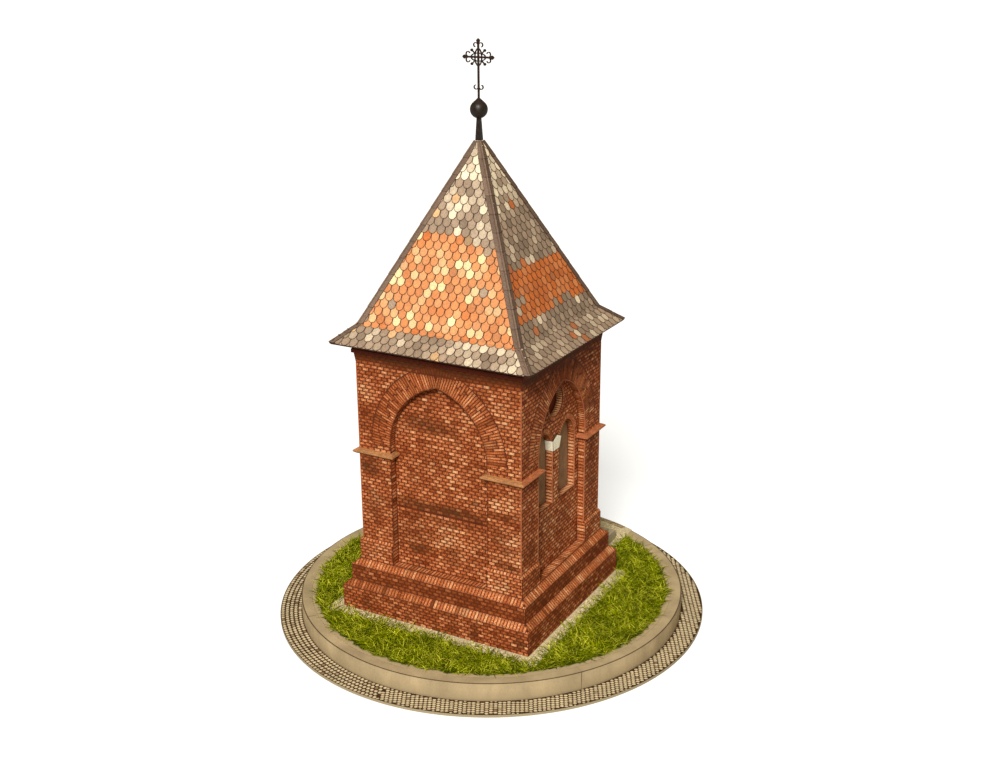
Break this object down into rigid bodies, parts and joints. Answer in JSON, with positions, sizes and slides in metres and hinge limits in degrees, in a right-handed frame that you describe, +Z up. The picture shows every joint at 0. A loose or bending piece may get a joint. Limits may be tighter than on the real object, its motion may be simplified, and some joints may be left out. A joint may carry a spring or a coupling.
{
  "type": "card scale model of a brick wayside chapel",
  "caption": "Card model of a small square brick chapel with pointed niches, flared tiled pyramid roof, ball and cross, on a round kerbed base.",
  "frame": {"origin": "middle of the underside of the round base", "axes": "+Z up, -Y towards the side with the wide blind niche, +Y towards the entrance steps, +X and -X towards the two window sides"},
  "size_m": [0.1432, 0.1432, 0.1866],
  "materials": {
    "paving_card": "printed card, matt, small cream setts with dark joints",
    "kerb_card": "printed card, matt, beige kerbstones",
    "lawn_card": "printed card, matt, grass",
    "gravel_card": "printed card, matt, pale gravel",
    "step_card": "printed card, matt, grey-brown stone",
    "brick_card": "printed card, matt, weathered red brick with dark joints",
    "capital_card": "printed card, matt, pale stone",
    "backing_card": "plain grey-brown card",
    "door_card": "printed card, matt, upright planks",
    "string_card": "printed card, matt, moulded brick",
    "cornice_card": "printed card, matt, dark brown",
    "roof_tile_card": "printed card, matt, grey, cream and orange round-ended tiles",
    "hip_card": "printed card, matt, grey-brown hip tiles",
    "finial_card": "dark painted card, slight sheen",
    "cross_card": "dark brown cut card"
  },
  "bodies": {
    "root": {"paving_disc": "paving_card", "kerb_ring": "kerb_card", "lawn": "lawn_card", "gravel_apron": "gravel_card", "entrance_path": "gravel_card", "step_1": "step_card", "step_2": "step_card", "step_3": "step_card", "step_4": "step_card", "lower_plinth": "brick_card", "upper_plinth": "brick_card", "door_sill": "step_card", "pier_socles": "brick_card", "blind_wall": "brick_card", "right_window_wall": "brick_card", "entrance_wall": "brick_card", "left_window_wall": "brick_card", "blind_panel": "brick_card", "right_window_panel": "brick_card", "doorway_panel": "brick_card", "left_window_panel": "brick_card", "right_mullion": "brick_card", "left_mullion": "brick_card", "right_capital": "capital_card", "left_capital": "capital_card", "right_window_backing": "backing_card", "left_window_backing": "backing_card", "entrance_door": "door_card", "door_backing": "backing_card", "string_course": "string_card", "cornice_board": "cornice_card", "blind_roof": "roof_tile_card", "right_roof": "roof_tile_card", "entrance_roof": "roof_tile_card", "left_roof": "roof_tile_card", "hip_cap_blind_right": "hip_card", "hip_cap_entrance_right": "hip_card", "hip_cap_entrance_left": "hip_card", "hip_cap_blind_left": "hip_card", "finial_neck": "finial_card", "finial_ball": "finial_card", "cross": "cross_card"}
  },
  "joints": []
}
